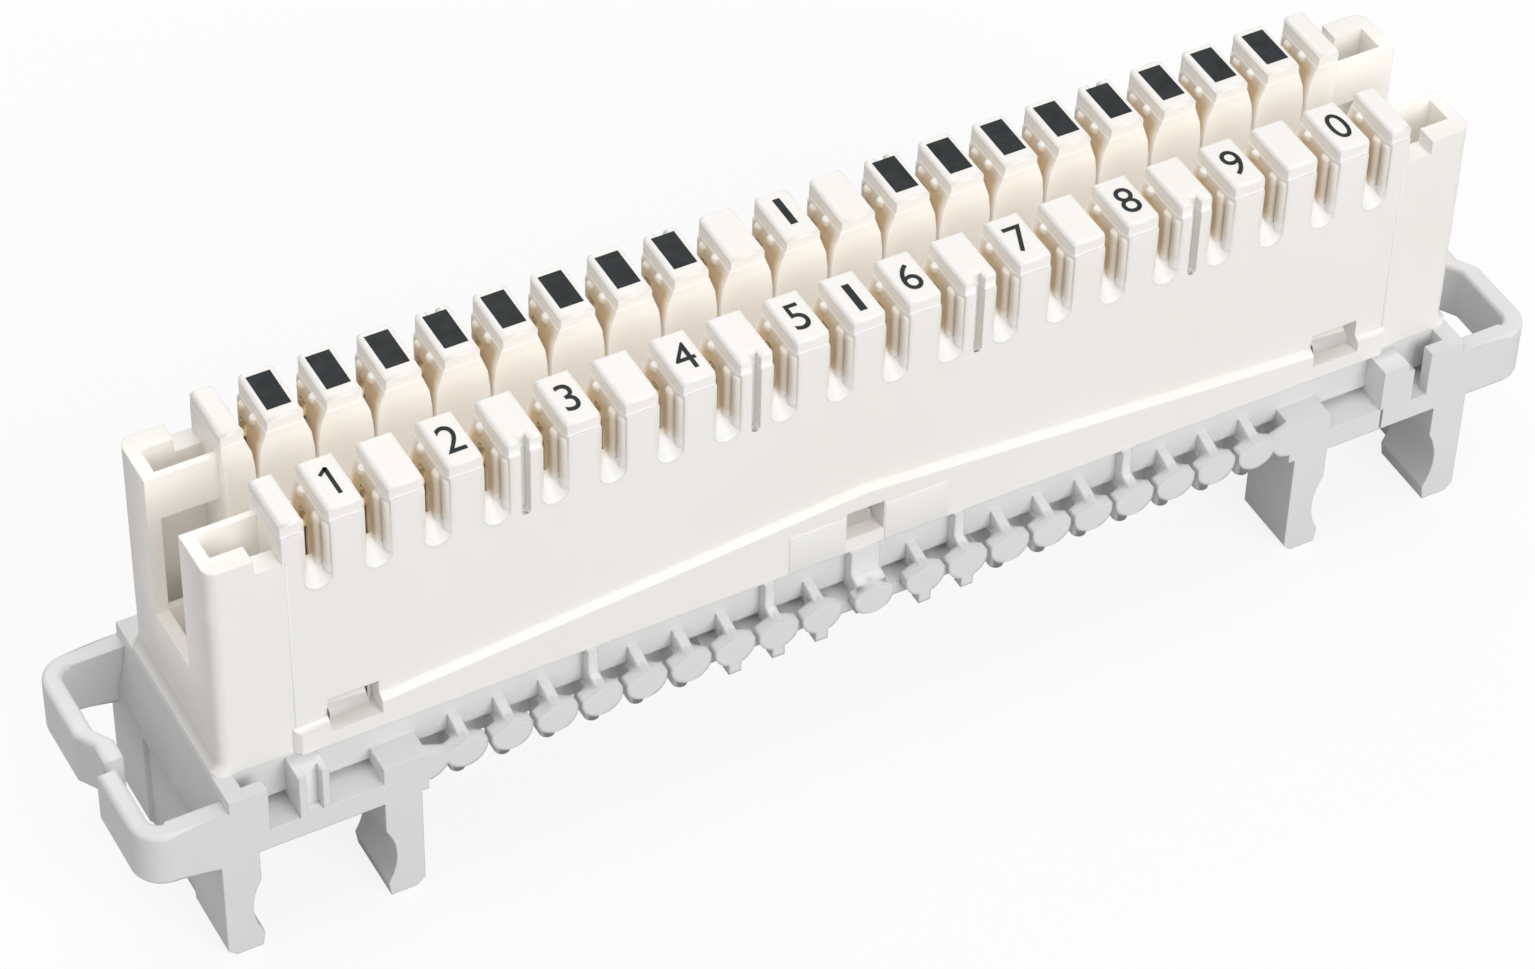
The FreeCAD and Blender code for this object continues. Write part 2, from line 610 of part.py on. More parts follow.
def draw_peg(body, name, place, width):
    """One guide: sloped stem, gusset that widens it behind the head, and the head with its round belly."""
    wall, behind = "keel_width/2", f"({REACH} - head_thick)"
    half, belly = "head_width/2", f"({HEAD_FOOT} + head_width/2)"
    profile = new_sketch(body, f"{name}StemProfile", "YZ_Plane", place)
    draw_outline(profile, [(wall, HEAD_FOOT), (f"{behind} + head_thick/2", HEAD_FOOT),
                           (f"{behind} + head_thick/2", "peg_stem_top - peg_stem_fall"),
                           (FACE, "peg_stem_top"), (wall, "peg_stem_top")])
    stem = extrude("Pad", profile, f"{name}Stem", width, symmetric=True)
    plan = new_sketch(body, f"{name}GussetPlan", "XY_Plane", belly)
    draw_outline(plan, [(f"{place} - {width}/2", f"{behind} - gusset_length"),
                        (f"{place} + {width}/2", f"{behind} - gusset_length"),
                        (f"{place} + gusset_width/2", behind), (f"{place} - gusset_width/2", behind)])
    gusset = extrude("Pad", plan, f"{name}Gusset", "gusset_height")
    outline = new_sketch(body, f"{name}HeadOutline", "XZ_Plane", f"-{REACH}")
    draw_outline(outline, [(f"{place} - {half}", belly), (f"{place} + {half}", belly),
                           (f"{place} + {half}", f"{belly} + head_rim"), (place, "head_top"),
                           (f"{place} - {half}", f"{belly} + head_rim")], {0: ("half", 1)})
    return [stem, gusset, extrude("Pad", outline, f"{name}Head", "head_thick")]


def make_ribs(body):
    """Round ribs that hang behind the outer pegs, six on one half of a side and seven on the other."""
    left = draw_rib(body, "LeftRib", "-peg_first - (pegs_per_side - ribs_left)*peg_pitch")
    right = draw_rib(body, "RightRib", "peg_first + (pegs_per_side - ribs_right)*peg_pitch")
    doc.recompute()
    repeat(body, "LeftRibs", [left], [("row", "ribs_left", "peg_pitch", True), "turn"])
    repeat(body, "RightRibs", [right], [("row", "ribs_right", "peg_pitch", False), "turn"])


def draw_rib(body, name, place):
    plan = new_sketch(body, f"{name}Plan", "XY_Plane", "wall_bottom - rib_length")
    centre = f"-{REACH} + rib_setback"
    draw_outline(plan, [(f"{place} - rib_round", centre), (f"{place} + rib_round", centre),
                        (f"{place} + rib_round", "-keel_width/2"),
                        (f"{place} - rib_round", "-keel_width/2")],
                 {0: ("half", 1)})
    return extrude("Pad", plan, name, "rib_length")


def make_floors(body):
    """Floor plate between the two groups of ribs on each side, with a square stub under each head there."""
    left = "-peg_first - (pegs_per_side - ribs_left - 1)*peg_pitch - tray_margin"
    right = "peg_first + (pegs_per_side - ribs_right - 1)*peg_pitch + tray_margin"
    plate = add_box(body, "FloorPlate", left, right, f"-{REACH} + head_thick", "-keel_width/2",
                    "tray_top - tray_thick", "tray_top")
    left = draw_stub(body, "LeftStub", "-peg_first")
    right = draw_stub(body, "RightStub", "peg_first")
    doc.recompute()
    repeat(body, "FloorPlates", [plate], ["turn"])
    repeat(body, "LeftStubs", [left], [("row", "pegs_per_side - ribs_left", "peg_pitch", True), "turn"])
    repeat(body, "RightStubs", [right], [("row", "pegs_per_side - ribs_right", "peg_pitch", False), "turn"])


def draw_stub(body, name, place):
    return add_box(body, name, f"{place} - stub_width/2", f"{place} + stub_width/2", f"-{REACH}",
                   f"-{REACH} + head_thick", "base_bottom", f"{HEAD_FOOT} + head_foot")


def add_loops(body):
    """C-shaped cable loops at both ends: one arm straight, the other cranked inward at its tip."""
    far, wall, side, end = "loop_reach", "loop_wall", REACH, BASE_END
    big, small = "loop_round", "(loop_round - loop_wall)"
    straight = new_sketch(body, "StraightArmPlan", "XY_Plane", "base_bottom")
    draw_outline(straight, [(f"-{end}", f"-{side}"), (f"-{end}", f"-{side} + {wall}"),
                            (f"-{far} + {big}", f"-{side} + {wall}"),
                            (f"-{far} + {wall}", f"-{side} + {big}"),
                            (f"-{far} + {wall}", "-crank_start"), (f"-{far}", "-crank_start"),
                            (f"-{far}", f"-{side} + {big}"), (f"-{far} + {big}", f"-{side}")],
                 {2: (small, -1), 6: (big, 1)})
    straight = extrude("Pad", straight, "StraightArm", "loop_top - base_bottom")
    cranked = new_sketch(body, "CrankedArmPlan", "XY_Plane", "base_bottom")
    tip = "(loop_gap - crank_start)"
    draw_outline(cranked, [(f"-{end}", side), (f"-{far} + {big}", side), (f"-{far}", f"{side} - {big}"),
                           (f"-{far}", "crank_start"),
                           (f"-{far} + crank_shift", "crank_start - crank_length"),
                           (f"-{far} + crank_shift", tip), (f"-{far} + crank_shift + {wall}", tip),
                           (f"-{far} + crank_shift + {wall}", "crank_start - crank_length"),
                           (f"-{far} + {wall}", "crank_start"), (f"-{far} + {wall}", f"{side} - {big}"),
                           (f"-{far} + {big}", f"{side} - {wall}"), (f"-{end}", f"{side} - {wall}")],
                 {1: (big, 1), 9: (small, -1)})
    cranked = extrude("Pad", cranked, "CrankedArm", "loop_top - base_bottom")
    doc.recompute()
    repeat(body, "Loops", [straight, cranked], ["turn"])


def make_contacts():
    """Forked contact blades, turned 45 degrees, one under each wire slot; they stand on the base rim."""
    outline = doc.addObject("Sketcher::SketchObject", "ContactOutline")
    half, jaw, mouth = "contact_width/2", "jaw_width/2", "jaw_mouth/2"
    top = "(tooth_top - contact_drop - base_top)"
    draw_outline(outline, [(f"-{half}", "0"), (half, "0"), (half, top), (mouth, top),
                           (jaw, f"{top} - jaw_mouth_depth"), (jaw, f"{top} - jaw_depth"),
                           (f"-{jaw}", f"{top} - jaw_depth"), (f"-{jaw}", f"{top} - jaw_mouth_depth"),
                           (f"-{mouth}", top), (f"-{half}", top)])
    upright = FreeCAD.Rotation(FreeCAD.Vector(1, 0, 0), 90)
    contacts = []
    for row, side, turn in (("front", "-", 45), ("rear", "", 225)):
        for place in range(round(number("slots_per_row"))):
            blade = doc.addObject("Part::Extrusion", f"contact_{row}_{place + 1:02d}")
            blade.Label = blade.Name
            blade.Base = outline
            blade.DirMode = "Custom"
            blade.Dir = FreeCAD.Vector(0, 0, 1)
            blade.setExpression("LengthFwd", bound("contact_thick"))
            blade.Symmetric = True
            blade.Solid = True
            about = FreeCAD.Rotation(FreeCAD.Vector(0, 0, 1), turn)
            blade.Placement = FreeCAD.Placement(FreeCAD.Vector(), about * upright)
            blade.setExpression("Placement.Base.x", bound(f"{FIRST_SLOT} + {place}*tooth_pitch"))
            blade.setExpression("Placement.Base.y", bound(f"{side}({FACE} - contact_setback)"))
            blade.setExpression("Placement.Base.z", bound("base_top"))
            contacts.append(blade)
    return contacts


shell = new_body("housing_shell")
band = make_shell(shell)
bevel_band(shell, band)
add_latches(shell)
cut_channel(shell)
cut_towers(shell)
cut_splits(shell)
slots = new_body("slot_cutters")
make_slots(slots)
housing = doc.addObject("Part::Cut", "housing")
housing.Base = shell
housing.Tool = slots

frame = new_body("base_frame")
make_tray(frame)
add_corners(frame)
add_posts(frame)
add_legs(frame)
add_loops(frame)
pegs = new_body("guide_pegs")
make_pegs(pegs)
middles = new_body("middle_guides")
make_middles(middles)
ribs = new_body("guide_ribs")
make_ribs(ribs)
floors = new_body("guide_floors")
make_floors(floors)
base = doc.addObject("Part::MultiFuse", "base")
base.Shapes = [frame, pegs, middles, ribs, floors]

pieces = [housing, base] + make_contacts()
doc.recompute()

for item in doc.Objects:
    if {"Invalid", "Error"} & set(item.State):
        raise RuntimeError(f"{item.Name}: {item.State}")
for piece in pieces:
    if piece.Shape.isNull() or not piece.Shape.isValid() or len(piece.Shape.Solids) != 1:
        raise RuntimeError(f"{piece.Label} is not one valid solid: {len(piece.Shape.Solids)}")

os.makedirs("parts", exist_ok=True)
for piece in pieces:
    piece.Shape.exportStep(f"parts/{piece.Label}.step")
    print(f"{piece.Label}: {piece.Shape.Volume:.1f} mm3")
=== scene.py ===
import math

import bmesh
import bpy
from mathutils import Matrix, Vector


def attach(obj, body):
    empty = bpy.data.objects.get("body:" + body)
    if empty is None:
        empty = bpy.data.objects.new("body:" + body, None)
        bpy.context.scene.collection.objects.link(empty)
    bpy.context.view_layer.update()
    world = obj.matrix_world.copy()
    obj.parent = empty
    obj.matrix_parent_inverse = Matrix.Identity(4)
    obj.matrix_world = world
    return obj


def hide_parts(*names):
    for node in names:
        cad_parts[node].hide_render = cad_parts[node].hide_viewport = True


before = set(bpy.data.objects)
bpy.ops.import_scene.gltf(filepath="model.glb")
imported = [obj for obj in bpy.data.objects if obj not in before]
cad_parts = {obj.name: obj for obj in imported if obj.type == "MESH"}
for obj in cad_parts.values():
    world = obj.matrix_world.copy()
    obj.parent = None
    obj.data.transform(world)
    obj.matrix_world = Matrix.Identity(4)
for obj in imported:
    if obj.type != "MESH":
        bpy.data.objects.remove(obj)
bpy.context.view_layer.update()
mm = 0.001
print("frame loaded")

strip = {  # what the printed and added details line up with
    "pitch": 4.8 * mm,
    "slots": 20,
    "toothTop": 40.8 * mm,
    "rowInner": 2.5 * mm,
}


def toothPlace(count):  # middle of tooth 1 to 19, counted from the left
    return (count - strip["slots"] / 2) * strip["pitch"]


def slotPlace(count):  # middle of slot 1 to 20
    return (count - (strip["slots"] + 1) / 2) * strip["pitch"]


def only(piece):
    if bpy.context.mode != "OBJECT":
        bpy.ops.object.mode_set(mode="OBJECT")
    bpy.ops.object.select_all(action="DESELECT")
    piece.select_set(True)
    bpy.context.view_layer.objects.active = piece
    return piece


def applyPlace():  # puts the active piece's place, turn and size into its mesh
    bpy.ops.object.transform_apply(location=True, rotation=True, scale=True)


def soften(piece, width, steps, sharp, smooth):  # rounds edges sharper than one angle, shades by another
    edge = piece.modifiers.new("soft", "BEVEL")
    edge.width = width
    edge.segments = steps
    edge.limit_method = "ANGLE"
    edge.angle_limit = math.radians(sharp)
    bpy.ops.object.modifier_apply(modifier="soft")
    bpy.ops.object.shade_smooth_by_angle(angle=math.radians(smooth))


def finishPiece(piece, name, material):
    only(piece)
    applyPlace()
    piece.name = name
    piece.data.name = name
    piece.data.materials.clear()
    piece.data.materials.append(material)
    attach(piece, "root")
    return piece


def joinAll(pieces):
    bpy.ops.object.select_all(action="DESELECT")
    for piece in pieces:
        piece.select_set(True)
    bpy.context.view_layer.objects.active = pieces[0]
    bpy.ops.object.join()
    return bpy.context.view_layer.objects.active


def pick(piece, kind, test):  # leaves the piece in edit mode with what passes the test selected
    only(piece)
    bpy.ops.object.mode_set(mode="EDIT")
    bpy.ops.mesh.select_mode(type=kind)
    bpy.ops.mesh.select_all(action="DESELECT")
    bpy.ops.object.mode_set(mode="OBJECT")
    for part in piece.data.vertices if kind == "VERT" else piece.data.polygons:
        part.select = test(part)
    bpy.ops.object.mode_set(mode="EDIT")


# Materials: each is a moulded or plated finish with its own grain; the white plastic also carries painted
# shade, painted highlights and a painted glow


def newMaterial(name, colour, roughness):
    material = bpy.data.materials.new(name)
    material.use_nodes = True
    shader = material.node_tree.nodes["Principled BSDF"]
    shader.inputs["Base Color"].default_value = (*colour, 1)
    shader.inputs["Roughness"].default_value = roughness
    return material, material.node_tree, shader


def objectCoords(tree):
    return tree.nodes.new("ShaderNodeTexCoord").outputs["Object"]


def noise(tree, scale, detail=3.0, roughness=0.5):
    texture = tree.nodes.new("ShaderNodeTexNoise")
    texture.inputs["Scale"].default_value = scale
    texture.inputs["Detail"].default_value = detail
    texture.inputs["Roughness"].default_value = roughness
    tree.links.new(objectCoords(tree), texture.inputs["Vector"])
    return texture.outputs["Fac"]


def ramp(tree, source, low, high, colours):
    band = tree.nodes.new("ShaderNodeValToRGB")
    band.color_ramp.elements[0].position = low
    band.color_ramp.elements[1].position = high
    band.color_ramp.elements[0].color = (*colours[0], 1)
    band.color_ramp.elements[1].color = (*colours[1], 1)
    tree.links.new(source, band.inputs["Fac"])
    return band.outputs["Color"]


def spread(tree, source, low, high):  # a noise value stretched between two numbers
    stretch = tree.nodes.new("ShaderNodeMapRange")
    stretch.inputs["To Min"].default_value = low
    stretch.inputs["To Max"].default_value = high
    tree.links.new(source, stretch.inputs["Value"])
    return stretch.outputs["Result"]


softRays = 6  # rays that feel for an edge near each shaded point


def bump(tree, shader, height, strength, distance, soft):  # relief over edges that shade as if rounded
    relief = tree.nodes.new("ShaderNodeBump")
    rounded = tree.nodes.new("ShaderNodeBevel")
    rounded.samples = softRays
    rounded.inputs["Radius"].default_value = soft
    tree.links.new(rounded.outputs["Normal"], relief.inputs["Normal"])
    relief.inputs["Strength"].default_value = strength
    relief.inputs["Distance"].default_value = distance
    tree.links.new(height, relief.inputs["Height"])
    tree.links.new(relief.outputs["Normal"], shader.inputs["Normal"])
    return rounded


def math2(tree, operation, first, second):
    node = tree.nodes.new("ShaderNodeMath")
    node.operation = operation
    for socket, value in zip(node.inputs, (first, second)):
        if isinstance(value, (int, float)):
            socket.default_value = value
        else:
            tree.links.new(value, socket)
    return node.outputs[0]


def times(tree, *values):
    product = values[0]
    for value in values[1:]:
        product = math2(tree, "MULTIPLY", product, value)
    return product


def place3(tree):  # x, then the distances from the middle along x and y, then z
    parts = tree.nodes.new("ShaderNodeSeparateXYZ")
    tree.links.new(objectCoords(tree), parts.inputs[0])
    asideX = math2(tree, "ABSOLUTE", parts.outputs["X"], 0)
    asideY = math2(tree, "ABSOLUTE", parts.outputs["Y"], 0)
    return parts.outputs["X"], asideX, asideY, parts.outputs["Z"]


def window(tree, source, edges, heights=(0, 1, 1, 0)):  # rises, holds and falls between four places
    low, high = edges[0], edges[-1]
    share = math2(tree, "DIVIDE", math2(tree, "SUBTRACT", source, low), high - low)
    shape = tree.nodes.new("ShaderNodeValToRGB")
    stops = shape.color_ramp.elements
    stops[0].color = (heights[0], heights[0], heights[0], 1)
    stops[1].color = (heights[-1], heights[-1], heights[-1], 1)
    for place, height in list(zip(edges, heights))[1:-1]:
        stops.new((place - low) / (high - low)).color = (height, height, height, 1)
    tree.links.new(share, shape.inputs["Fac"])
    return shape.outputs["Color"]


def blend(tree, share, first, second):
    mix = tree.nodes.new("ShaderNodeMix")
    mix.data_type = "RGBA"
    tree.links.new(share, mix.inputs["Factor"])
    for socket, value in ((mix.inputs["A"], first), (mix.inputs["B"], second)):
        if isinstance(value, tuple):
            socket.default_value = (*value, 1)
        else:
            tree.links.new(value, socket)
    return mix.outputs["Result"]


whiteLook = {
    "colour": (0.860, 0.843, 0.818), "cream": (0.845, 0.820, 0.780), "blotch": 45,
    # painted warm light laid on the channel faces between the rows, and how much of it
    "channelLightTint": (0.890, 0.845, 0.775), "channelLightShare": 0.5,
    # deep is the golden-brown painted shade down each slot; edge, with its shares, is the painted highlight
    # on the cap ledge, seam lines and slot scoops
    "deep": (0.560, 0.400, 0.190), "edge": (0.960, 0.955, 0.945), "highlightShare": 0.8, "scoopHighlightShare": 0.35,
    # painted glow: colour and share of a faint light given off by the channel faces
    "through": (1.0, 0.955, 0.90), "throughShare": 0.13,
    "glow": 0.10, "glowDepth": 1.0 * mm, "glowTint": (1.0, 0.7, 0.4),
    "roughness": 0.42, "smoother": 0.06, "rougher": 0.08, "glossBlotch": 220,
    "edgeRound": 0.12 * mm, "grain": 5200, "grainHeight": 0.004,
    "sinkDepth": 0.035 * mm, "sinkTop": 33.5 * mm, "sinkReach": 6.5 * mm, "sinkEase": 2 * mm,
}
whiteBands = {  # where the white changes: places of the edges, and the strength at each
    # channel bands: where the painted warm light and the painted glow go
    "channelAcross": ([0, 2.6 * mm, 3.2 * mm, 7.6 * mm], (1, 1, 0.8, 0)),
    "channelUp": ([20 * mm, 26 * mm, 38.5 * mm, 40.4 * mm], (0, 1, 1, 0)),
    # slot bands: where the golden-brown painted shade lies in each slot
    "slotAcross": ([-1.0, -0.98, 0.0, 0.36], (1, 1, 1, 0)),
    "slotAlong": ([2.0 * mm, 2.6 * mm, 3.4 * mm, 6.0 * mm, 7.9 * mm], (0, 0, 1, 0.75, 0.1)),
    "slotUp": ([34.4 * mm, 35.4 * mm, 38.6 * mm, 39.9 * mm], (0, 1, 1, 0)),
    "slotEnds": ([0, 1 * mm, 46.9 * mm, 47.3 * mm], (1, 1, 1, 0)),
    # cap, seam and scoop bands: where the painted highlights go
    "capEdge": ([39.40 * mm, 39.46 * mm, 39.60 * mm, 39.68 * mm], (0, 1, 1, 0)),
    "seamAcross": ([47.98 * mm, 48.04 * mm, 48.20 * mm, 48.26 * mm], (0, 1, 1, 0)),
    "seamUp": ([19.5 * mm, 19.7 * mm, 36.8 * mm, 37.0 * mm], (0, 1, 1, 0)),
    "scoopAlong": ([6.0 * mm, 6.5 * mm, 7.97 * mm, 7.99 * mm], (0, 1, 1, 0)),
    "scoopUp": ([33.0 * mm, 33.2 * mm, 34.8 * mm, 35.4 * mm], (0, 1, 1, 0)),
}


def whitePlastic():  # satin moulded plastic with painted light: golden-brown painted shade in the slots, painted warm light and a painted glow in the channel, painted highlights on the cap ledge, seams and scoops
    look = whiteLook
    material, tree, shader = newMaterial("whitePlastic", look["colour"], look["roughness"])

    def band(name, source):
        return window(tree, source, *whiteBands[name])

    along, asideX, asideY, up = place3(tree)
    turn = times(tree, along, 2 * math.pi / strip["pitch"])
    wave = math2(tree, "COSINE", turn, 0)  # 1 in the middle of a tooth, -1 in the middle of a slot
    slotAcross = band("slotAcross", wave)

    tint = ramp(tree, noise(tree, look["blotch"]), 0.35, 0.75, (look["cream"], look["colour"]))
    # painted warm light over the channel faces between the rows, which the rows shade
    lit = times(tree, band("channelAcross", asideY), band("channelUp", up))
    tint = blend(tree, times(tree, lit, look["channelLightShare"]), tint, look["channelLightTint"])
    shader.inputs["Emission Color"].default_value = (*look["through"], 1)  # painted glow that brightens the channel faces in the shade of the rows
    tree.links.new(times(tree, lit, look["throughShare"]), shader.inputs["Emission Strength"])
    # golden-brown painted shade down the flanks of each slot
    slotShadeMask = times(tree, slotAcross, band("slotAlong", asideY), band("slotUp", up),
                     band("slotEnds", asideX))
    tint = blend(tree, slotShadeMask, tint, look["deep"])
    # painted highlights: bright lines on the cap ledge and the seam lines, and a brighter scoop at the foot
    # of each slot
    seamHighlightMask = times(tree, band("seamAcross", asideX), band("seamUp", up))
    scoopHighlightMask = times(tree, slotAcross, band("scoopAlong", asideY), band("scoopUp", up), look["scoopHighlightShare"])
    paintedHighlightMask = math2(tree, "MAXIMUM", math2(tree, "MAXIMUM", band("capEdge", up), seamHighlightMask), scoopHighlightMask)
    tint = blend(tree, times(tree, paintedHighlightMask, look["highlightShare"]), tint, look["edge"])
    tree.links.new(tint, shader.inputs["Base Color"])

    shader.inputs["Subsurface Weight"].default_value = look["glow"]
    shader.inputs["Subsurface Radius"].default_value = look["glowTint"]
    shader.inputs["Subsurface Scale"].default_value = look["glowDepth"]
    low, high = look["roughness"] - look["smoother"], look["roughness"] + look["rougher"]
    tree.links.new(spread(tree, noise(tree, look["glossBlotch"]), low, high), shader.inputs["Roughness"])

    top = look["sinkTop"]
    under = window(tree, up, [top - look["sinkReach"], top - look["sinkEase"], top], (0, 1, 0))
    sink = times(tree, wave, under, look["sinkDepth"] / mm)  # soft sink mark under each slot
    grain = times(tree, noise(tree, look["grain"]), look["grainHeight"])
    bump(tree, shader, math2(tree, "ADD", sink, grain), 1.0, mm, look["edgeRound"])
    return material


greyLook = {
    "colour": (0.735, 0.732, 0.730), "shade": (0.700, 0.698, 0.698), "blotch": 60,
    "roughness": 0.45, "smoother": 0.07, "rougher": 0.09, "glossBlotch": 260,
    "grain": 4200, "grainStrength": 0.12, "grainHeight": 0.02 * mm,
    "edgeRound": 0.18 * mm, "headRound": 0.45 * mm,
    "headsOut": ([8.6 * mm, 9.0 * mm, 11.5 * mm, 12 * mm], (0, 1, 1, 0)),
    "headsAlong": ([0, 1 * mm, 38.4 * mm, 38.6 * mm], (1, 1, 1, 0)),
}


def greyPlastic():  # the round heads of the wire guides get softer edges than the rest
    look = greyLook
    material, tree, shader = newMaterial("greyPlastic", look["colour"], look["roughness"])
    tint = ramp(tree, noise(tree, look["blotch"]), 0.3, 0.7, (look["shade"], look["colour"]))
    tree.links.new(tint, shader.inputs["Base Color"])
    low, high = look["roughness"] - look["smoother"], look["roughness"] + look["rougher"]
    tree.links.new(spread(tree, noise(tree, look["glossBlotch"]), low, high), shader.inputs["Roughness"])
    grain = noise(tree, look["grain"])
    rounded = bump(tree, shader, grain, look["grainStrength"], look["grainHeight"], look["edgeRound"])
    asideX, asideY = place3(tree)[1:3]
    heads = times(tree, window(tree, asideY, *look["headsOut"]), window(tree, asideX, *look["headsAlong"]))
    wider = times(tree, heads, look["headRound"] - look["edgeRound"])
    tree.links.new(math2(tree, "ADD", wider, look["edgeRound"]), rounded.inputs["Radius"])
    return material


metalLook = {
    "colour": (0.83, 0.76, 0.60), "dull": (0.62, 0.52, 0.36), "blotch": 700, "roughness": 0.32,
    "lines": (6000, 6000, 300), "lineStrength": 0.15, "lineHeight": 0.02 * mm, "edgeRound": 0.03 * mm,
}


def contactMetal():
    look = metalLook
    material, tree, shader = newMaterial("contactMetal", look["colour"], look["roughness"])
    tint = ramp(tree, noise(tree, look["blotch"]), 0.35, 0.8, (look["dull"], look["colour"]))
    tree.links.new(tint, shader.inputs["Base Color"])
    shader.inputs["Metallic"].default_value = 1.0
    stripes = tree.nodes.new("ShaderNodeTexNoise")  # stamping lines that run up the blade
    stretch = tree.nodes.new("ShaderNodeMapping")
    stretch.inputs["Scale"].default_value = look["lines"]
    tree.links.new(objectCoords(tree), stretch.inputs["Vector"])
    tree.links.new(stretch.outputs["Vector"], stripes.inputs["Vector"])
    bump(tree, shader, stripes.outputs["Fac"], look["lineStrength"], look["lineHeight"], look["edgeRound"])
    return material


printLook = {
    "colour": (0.018, 0.021, 0.022), "thin": (0.014, 0.017, 0.018), "full": (0.030, 0.033, 0.034),
    "blotch": 900, "roughness": 0.55, "smooth": 0.5, "rough": 0.7, "glossBlotch": 1500, "shine": 0.15,
}


def blackPrint():
    look = printLook
    material, tree, shader = newMaterial("blackPrint", look["colour"], look["roughness"])
    tint = ramp(tree, noise(tree, look["blotch"]), 0.3, 0.8, (look["thin"], look["full"]))
    tree.links.new(tint, shader.inputs["Base Color"])
    gloss = spread(tree, noise(tree, look["glossBlotch"]), look["smooth"], look["rough"])
    tree.links.new(gloss, shader.inputs["Roughness"])
    shader.inputs["Specular IOR Level"].default_value = look["shine"]
    return material


white = whitePlastic()
grey = greyPlastic()
metal = contactMetal()
black = blackPrint()
print("materials made")


# The two mouldings: the frame's own solids with their edges rounded

rounding = {
    "widest": 0.42 * mm, "toothTop": 0.36 * mm, "loop": 0.42 * mm, "loopFrom": 55.6 * mm,
    "loopLevels": (10.5 * mm, 15.8 * mm), "steps": 4, "sharpFrom": 28, "room": 0.45, "turnFrom": 30,
    "near": 0.01 * mm, "same": 0.001 * mm, "flat": 0.6, "normalWeight": 100,
}
latch = {"low": 18.6 * mm, "high": 21.1 * mm, "root": 6.7 * mm, "flush": 7.95 * mm, "reach": 1.5}
inside = {"end": 48.4 * mm, "sill": 24.5 * mm, "wide": 3.1 * mm}


def roomBeside(edge):  # shortest edge that leaves either end sideways
    along = edge.verts[1].co - edge.verts[0].co
    shortest = 1.0
    for vertex in edge.verts:
        for other in vertex.link_edges:
            if other == edge:
                continue
            side = other.verts[1].co - other.verts[0].co
            bend = math.degrees(along.angle(side, 0))
            if min(bend, 180 - bend) > rounding["turnFrom"]:
                shortest = min(shortest, other.calc_length())
    return shortest


def atLevel(edge, level):
    return all(abs(vertex.co.z - level) < rounding["near"] for vertex in edge.verts)


def roundWeight(edge):
    if len(edge.link_faces) != 2 or edge.calc_face_angle(0) < math.radians(rounding["sharpFrom"]):
        return 0.0
    farOut = min(abs(vertex.co.x) for vertex in edge.verts) > rounding["loopFrom"]
    if atLevel(edge, strip["toothTop"]):
        wanted = rounding["toothTop"]
    elif farOut and any(atLevel(edge, level) for level in rounding["loopLevels"]):
        wanted = rounding["loop"]
    else:
        return 0.0
    return min(wanted, rounding["room"] * roomBeside(edge)) / rounding["widest"]


def mergeFlat():  # in edit mode: joins doubled points, then the pieces of each flat face
    bpy.ops.mesh.select_all(action="SELECT")
    bpy.ops.mesh.remove_doubles(threshold=rounding["same"])
    bpy.ops.mesh.dissolve_limited(angle_limit=math.radians(rounding["flat"]))


def narrowChannel(piece):  # brings the rows' inner faces in to the width the channel has lower down
    end, sill, wide, near = inside["end"], inside["sill"], inside["wide"], rounding["near"]
    for side in (-1, 1):
        pick(piece, "FACE", lambda face: True)
        bpy.ops.mesh.bisect(plane_co=(side * end, 0, 0), plane_no=(1, 0, 0))
        bpy.ops.object.mode_set(mode="OBJECT")
    for side in (-1, 1):
        pick(piece, "FACE", lambda face: abs(face.center.y - side * wide) < near
             and side * face.normal.y < -0.9 and abs(face.center.x) < end and face.center.z > sill)
        inwards = (0, side * (strip["rowInner"] - wide), 0)
        bpy.ops.mesh.extrude_region_move(TRANSFORM_OT_translate={"value": inwards})
        bpy.ops.object.mode_set(mode="OBJECT")
    pick(piece, "FACE", lambda face: abs(face.center.z - sill) < near and abs(face.normal.z) > 0.9
         and strip["rowInner"] < abs(face.center.y) < wide and abs(face.center.x) < end)
    bpy.ops.mesh.delete(type="ONLY_FACE")
    mergeFlat()
    bpy.ops.object.mode_set(mode="OBJECT")


def reachOut(mesh):  # the latch noses come nearly to the face of the band
    deepest = latch["flush"] - latch["root"]
    for vertex in mesh.verts:
        deep = abs(vertex.co.y) - latch["root"]
        if latch["low"] < vertex.co.z < latch["high"] and 0 < deep < deepest:
            vertex.co.y = math.copysign(latch["root"] + latch["reach"] * deep, vertex.co.y)


